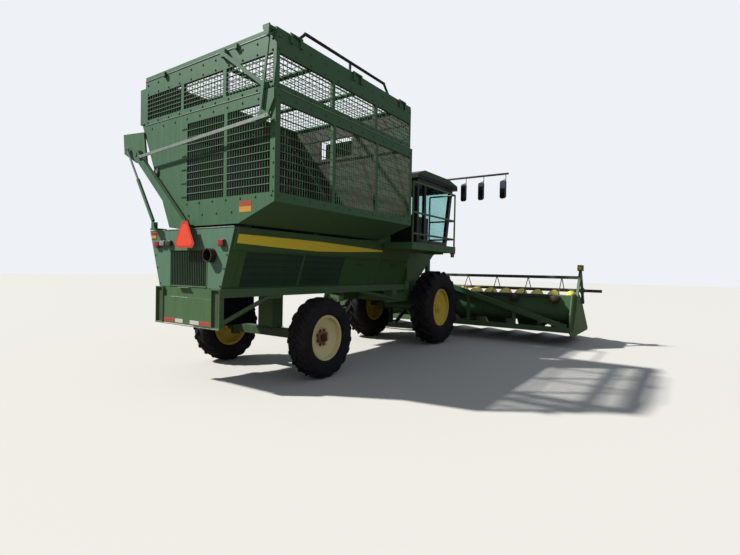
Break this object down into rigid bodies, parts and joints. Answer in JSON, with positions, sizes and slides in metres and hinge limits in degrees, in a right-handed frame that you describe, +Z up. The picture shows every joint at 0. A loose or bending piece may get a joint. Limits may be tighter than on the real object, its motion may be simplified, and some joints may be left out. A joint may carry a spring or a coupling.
{
  "type": "cotton harvester",
  "caption": "Self-propelled cotton stripper harvester: wide row header, cab over the drive wheels, mesh basket that tips over its left side, steered rear wheels.",
  "frame": {"origin": "on the ground under the middle of the machine's length and width", "axes": "+X forward along the machine, +Y to its left, +Z up"},
  "size_m": [9.215, 7.7, 4.4503],
  "materials": {
    "green_paint": "semi-gloss green paint with dust",
    "dark_green": "satin dark green paint",
    "yellow_paint": "semi-gloss yellow paint",
    "black_paint": "satin black paint",
    "bright_steel": "bright steel",
    "worn_steel": "worn steel",
    "tyre": "matte dusty rubber",
    "glass": "tinted glass",
    "lamp_red": "red and orange plastic",
    "trim": "dark plastic",
    "seat_fabric": "dark cloth",
    "brush": "black bats and bristle"
  },
  "bodies": {
    "chassis": {"main_frame": "green_paint", "axles": "green_paint", "hood": "green_paint", "screens": "dark_green", "engine": "worn_steel", "rear_lamps": "lamp_red", "platforms": "green_paint", "handrails": "green_paint", "cab_frame": "black_paint", "cab_roof": "dark_green", "cab_glass": "glass", "seat": "seat_fabric", "cab_controls": "trim", "mirrors": "black_paint", "duct": "green_paint", "dump_towers": "green_paint"},
    "service_door_right_rear": {"service_door_right_rear": "green_paint"},
    "service_door_right_front": {"service_door_right_front": "green_paint"},
    "service_door_left_rear": {"service_door_left_rear": "green_paint"},
    "service_door_left_front": {"service_door_left_front": "green_paint"},
    "cab_door": {"cab_door": "black_paint", "cab_door_glass": "glass"},
    "front_left_wheel": {"front_left_tyre": "tyre", "front_left_rim": "yellow_paint"},
    "front_right_wheel": {"front_right_tyre": "tyre", "front_right_rim": "yellow_paint"},
    "left_knuckle": {"left_knuckle": "green_paint"},
    "right_knuckle": {"right_knuckle": "green_paint"},
    "rear_left_wheel": {"rear_left_tyre": "tyre", "rear_left_rim": "yellow_paint"},
    "rear_right_wheel": {"rear_right_tyre": "tyre", "rear_right_rim": "yellow_paint"},
    "basket": {"basket_lower": "green_paint", "basket_lower_mesh": "green_paint", "basket_upper": "green_paint", "basket_upper_mesh": "green_paint"},
    "basket_lid": {"basket_lid": "green_paint"},
    "lid_crank": {"lid_crank": "green_paint"},
    "lid_rod": {"lid_rod": "green_paint"},
    "lid_link": {"lid_link": "green_paint"},
    "dump_barrels": {"dump_barrels": "green_paint"},
    "dump_rods": {"dump_rods": "bright_steel"},
    "header": {"header_frame": "green_paint", "header_trough": "green_paint", "row_dividers": "green_paint", "row_hoods": "yellow_paint", "stripper_rolls": "brush", "header_bar": "black_paint"},
    "header_auger": {"header_auger": "worn_steel"},
    "lift_barrels": {"lift_barrels": "black_paint"},
    "lift_rods": {"lift_rods": "bright_steel"}
  },
  "joints": [
    {"name": "front_left_spin", "type": "hinge", "parent": "chassis", "child": "front_left_wheel", "pos_m": [1.0075, 0.86, 0.79], "axis": [0, 1, 0], "continuous": true},
    {"name": "front_right_spin", "type": "hinge", "parent": "chassis", "child": "front_right_wheel", "pos_m": [1.0075, -0.86, 0.79], "axis": [0, 1, 0], "continuous": true},
    {"name": "left_steer", "type": "hinge", "parent": "chassis", "child": "left_knuckle", "pos_m": [-3.0225, 0.8, 0.583], "axis": [0, 0, 1], "range_deg": [-35, 35]},
    {"name": "right_steer", "type": "hinge", "parent": "chassis", "child": "right_knuckle", "pos_m": [-3.0225, -0.8, 0.583], "axis": [0, 0, 1], "range_deg": [-35, 35]},
    {"name": "rear_left_spin", "type": "hinge", "parent": "left_knuckle", "child": "rear_left_wheel", "pos_m": [-3.0225, 1.06, 0.583], "axis": [0, 1, 0], "continuous": true},
    {"name": "rear_right_spin", "type": "hinge", "parent": "right_knuckle", "child": "rear_right_wheel", "pos_m": [-3.0225, -1.06, 0.583], "axis": [0, 1, 0], "continuous": true},
    {"name": "cab_door_hinge", "type": "hinge", "parent": "chassis", "child": "cab_door", "pos_m": [0.5455, 0.8603, 2.8], "axis": [0, 0, 1], "range_deg": [0, 75]},
    {"name": "service_door_left_rear_hinge", "type": "hinge", "parent": "chassis", "child": "service_door_left_rear", "pos_m": [-1.7275, 0.67846, 1.3257], "axis": [-1, 0, 0], "range_deg": [0, 65]},
    {"name": "service_door_left_front_hinge", "type": "hinge", "parent": "chassis", "child": "service_door_left_front", "pos_m": [-0.6525, 0.67846, 1.3257], "axis": [-1, 0, 0], "range_deg": [0, 65]},
    {"name": "service_door_right_rear_hinge", "type": "hinge", "parent": "chassis", "child": "service_door_right_rear", "pos_m": [-1.7275, -0.67846, 1.3257], "axis": [1, 0, 0], "range_deg": [0, 65]},
    {"name": "service_door_right_front_hinge", "type": "hinge", "parent": "chassis", "child": "service_door_right_front", "pos_m": [-0.6525, -0.67846, 1.3257], "axis": [1, 0, 0], "range_deg": [0, 65]},
    {"name": "dump", "type": "hinge", "parent": "chassis", "child": "basket", "pos_m": [-2.9425, 1.17, 3.18], "axis": [-1, 0, 0], "range_deg": [0, 95]},
    {"name": "lid", "type": "hinge", "parent": "basket", "child": "basket_lid", "pos_m": [-2.9425, -1.577, 4.3003], "axis": [1, 0, 0], "range_deg": [0, 95]},
    {"name": "lid_crank_turn", "type": "hinge", "parent": "basket", "child": "lid_crank", "pos_m": [-4.5625, -1.432, 3.32], "axis": [1, 0, 0], "range_deg": [0, 95]},
    {"name": "lid_rod_turn", "type": "hinge", "parent": "lid_crank", "child": "lid_rod", "pos_m": [-4.5725, -1.372, 3.21], "axis": [1, 0, 0], "range_deg": [-95, 0]},
    {"name": "lid_link_turn", "type": "hinge", "parent": "chassis", "child": "lid_link", "pos_m": [-4.5925, 1.05218, 3.12506], "axis": [-1, 0, 0], "range_deg": [0, 95]},
    {"name": "dump_barrel_swing", "type": "hinge", "parent": "chassis", "child": "dump_barrels", "pos_m": [-4.5525, 0.71, 2.15], "axis": [1, 0, 0], "range_deg": [-3.4, 0]},
    {"name": "dump_rod_slide", "type": "slide", "parent": "dump_barrels", "child": "dump_rods", "axis": [0, 0.5496, 0.8354], "range_m": [-0.453, 0]},
    {"name": "header_lift", "type": "hinge", "parent": "chassis", "child": "header", "pos_m": [1.3575, 0, 1], "axis": [0, -1, 0], "range_deg": [0, 14]},
    {"name": "auger_spin", "type": "hinge", "parent": "header", "child": "header_auger", "pos_m": [2.7075, 0, 0.77], "axis": [0, 1, 0], "continuous": true},
    {"name": "lift_barrel_swing", "type": "hinge", "parent": "chassis", "child": "lift_barrels", "pos_m": [1.4575, 0, 0.35], "axis": [0, -1, 0], "range_deg": [0, 8.6]},
    {"name": "lift_rod_slide", "type": "slide", "parent": "lift_barrels", "child": "lift_rods", "axis": [0.8512, 0, 0.5249], "range_m": [0, 0.1427]}
  ],
  "couplings": [
    {"joint": "right_steer", "follows": "left_steer", "ratio": 1},
    {"joint": "lid", "follows": "dump", "ratio": 1},
    {"joint": "lid_crank_turn", "follows": "dump", "ratio": 1},
    {"joint": "lid_rod_turn", "follows": "dump", "ratio": -1},
    {"joint": "lid_link_turn", "follows": "dump", "ratio": 1},
    {"joint": "dump_barrel_swing", "follows": "dump", "ratio": -0.03568},
    {"joint": "dump_rod_slide", "follows": "dump", "m_per_rad": -0.27315},
    {"joint": "lift_barrel_swing", "follows": "header_lift", "ratio": 0.61357},
    {"joint": "lift_rod_slide", "follows": "header_lift", "m_per_rad": 0.5838}
  ]
}
